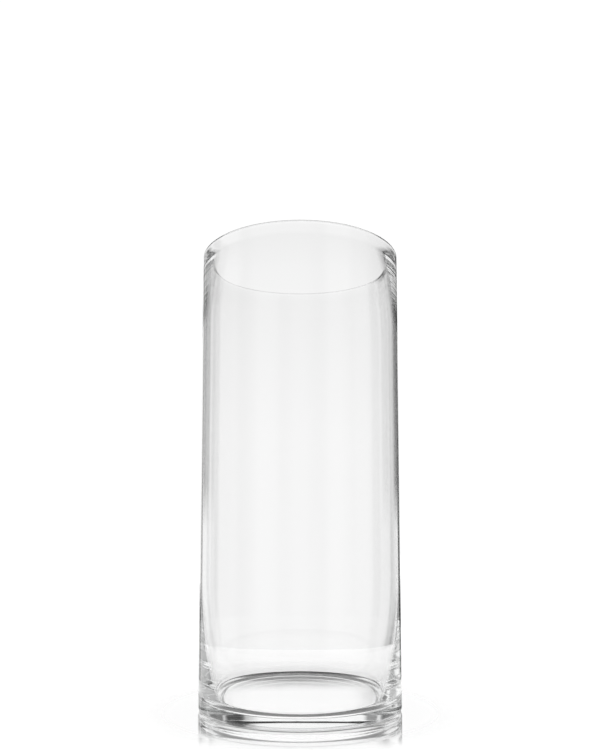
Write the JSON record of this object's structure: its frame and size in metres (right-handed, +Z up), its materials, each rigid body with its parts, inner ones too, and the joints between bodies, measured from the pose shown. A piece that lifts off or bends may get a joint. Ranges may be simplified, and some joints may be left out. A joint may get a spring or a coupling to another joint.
{
  "type": "cylinder vase",
  "caption": "Tall straight-sided clear glass cylinder vase with a thickened, fire-polished rim, walls that thicken towards the base, a base with rounded inner floor, and a shallow recess under a flat foot ring.",
  "frame": {"origin": "centre of the vase's foot, on the surface it stands on", "axes": "+Z up along the vase's axis, towards the mouth; +X and +Y are any two level directions, because the vase is round"},
  "size_m": [0.11, 0.11, 0.25],
  "materials": {
    "clear_glass": "clear, colourless soda-lime glass, fire-smooth walls and a polished rim"
  },
  "bodies": {
    "root": {"vase_body": "clear_glass"}
  },
  "joints": []
}
